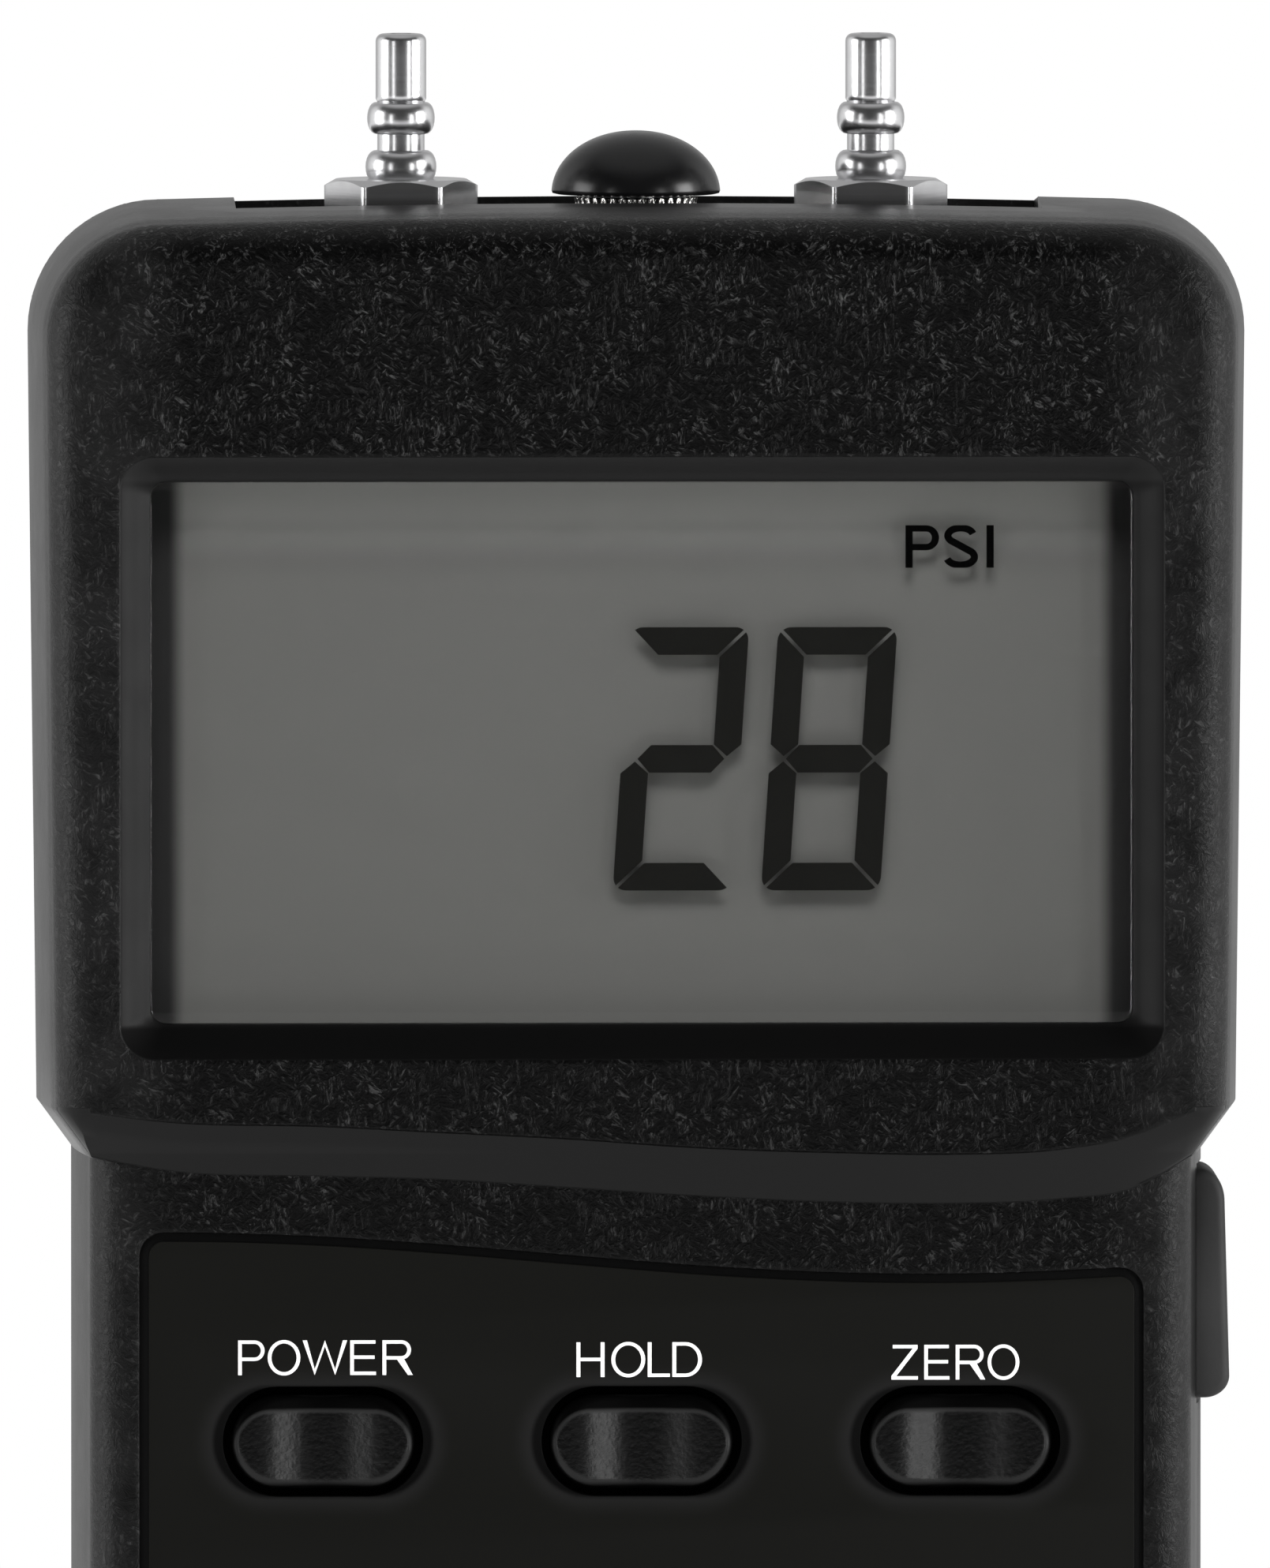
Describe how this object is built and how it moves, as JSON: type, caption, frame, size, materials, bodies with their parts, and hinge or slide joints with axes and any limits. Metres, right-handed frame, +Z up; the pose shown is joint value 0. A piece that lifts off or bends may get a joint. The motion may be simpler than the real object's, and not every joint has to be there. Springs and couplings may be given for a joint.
{
  "type": "digital manometer",
  "caption": "Hand-held digital manometer with a display window, keypad, hose fittings and a zero trim knob on top, a side socket cover, a folding stand and a battery bay.",
  "frame": {"origin": "middle of the foot, on the plane that the case stands on", "axes": "+Z up the case to the fittings, the display faces -Y, +X to the right seen from the front"},
  "size_m": [0.072, 0.032, 0.1894],
  "materials": {
    "case": "fine leathery grain",
    "lens": "clear and polished",
    "display_glass": "polished",
    "reflector": "silvery grey film",
    "dark_plastic": "smooth",
    "contact_rubber": "soft",
    "label": "satin film",
    "grey_rubber": "soft",
    "key_rubber": "satin",
    "board": "lacquered",
    "steel": "bright",
    "plate": "smooth",
    "chrome": "polished",
    "brass": "turned",
    "blue_plastic": "moulded",
    "knob": "satin",
    "pale_plastic": "moulded",
    "hose": "soft and translucent",
    "cover_rubber": "matte",
    "battery": "painted",
    "lead": "insulated wire"
  },
  "bodies": {
    "root": {"front_case": "case", "rear_case": "case", "display_lens": "lens", "lcd_glass": "display_glass", "lcd_reflector": "reflector", "lcd_frame": "dark_plastic", "zebra_strips": "contact_rubber", "keypad_label": "label", "keypad_mat": "grey_rubber", "main_board": "board", "board_parts": "dark_plastic", "board_screws": "steel", "port_plate": "plate", "positive_port": "chrome", "negative_port": "chrome", "port_nuts": "brass", "port_seals": "key_rubber", "trim_pot": "blue_plastic", "pot_nut": "chrome", "pressure_sensor": "pale_plastic", "positive_hose": "hose", "negative_hose": "hose", "data_socket": "dark_plastic", "dc_socket": "dark_plastic", "cover_pin": "steel", "stand_pin": "steel", "battery": "battery", "battery_snap": "dark_plastic", "battery_leads": "lead", "case_screws": "steel"},
    "power_key": {"power_key": "key_rubber"},
    "hold_key": {"hold_key": "key_rubber"},
    "zero_key": {"zero_key": "key_rubber"},
    "unit_key": {"unit_key": "key_rubber"},
    "record_key": {"record_key": "key_rubber"},
    "knob": {"trim_knob": "knob", "pot_shaft": "steel"},
    "cover": {"port_cover": "cover_rubber"},
    "stand": {"tilt_stand": "case"},
    "door": {"battery_door": "case", "door_screw": "steel"}
  },
  "joints": [
    {"name": "power_key_press", "type": "slide", "parent": "root", "child": "power_key", "axis": [0, 1, 0], "range_m": [0, 0.0008], "stiffness_N_per_m": 1500, "springref_m": -0.0004},
    {"name": "hold_key_press", "type": "slide", "parent": "root", "child": "hold_key", "axis": [0, 1, 0], "range_m": [0, 0.0008], "stiffness_N_per_m": 1500, "springref_m": -0.0004},
    {"name": "zero_key_press", "type": "slide", "parent": "root", "child": "zero_key", "axis": [0, 1, 0], "range_m": [0, 0.0008], "stiffness_N_per_m": 1500, "springref_m": -0.0004},
    {"name": "unit_key_press", "type": "slide", "parent": "root", "child": "unit_key", "axis": [0, 1, 0], "range_m": [0, 0.0008], "stiffness_N_per_m": 1500, "springref_m": -0.0004},
    {"name": "record_key_press", "type": "slide", "parent": "root", "child": "record_key", "axis": [0, 1, 0], "range_m": [0, 0.0008], "stiffness_N_per_m": 1500, "springref_m": -0.0004},
    {"name": "knob_turn", "type": "hinge", "parent": "root", "child": "knob", "pos_m": [0, 0, 0.1799], "axis": [0, 0, 1], "range_deg": [-150, 150]},
    {"name": "cover_swing", "type": "hinge", "parent": "root", "child": "cover", "pos_m": [0.0329, 0.0026, 0.1157], "axis": [0, 0, 1], "range_deg": [0, 100]},
    {"name": "stand_fold", "type": "hinge", "parent": "root", "child": "stand", "pos_m": [0, 0.01445, 0.1323], "axis": [1, 0, 0], "range_deg": [0, 45]},
    {"name": "door_lift", "type": "slide", "parent": "root", "child": "door", "axis": [0, 1, 0], "range_m": [0, 0.025]}
  ]
}
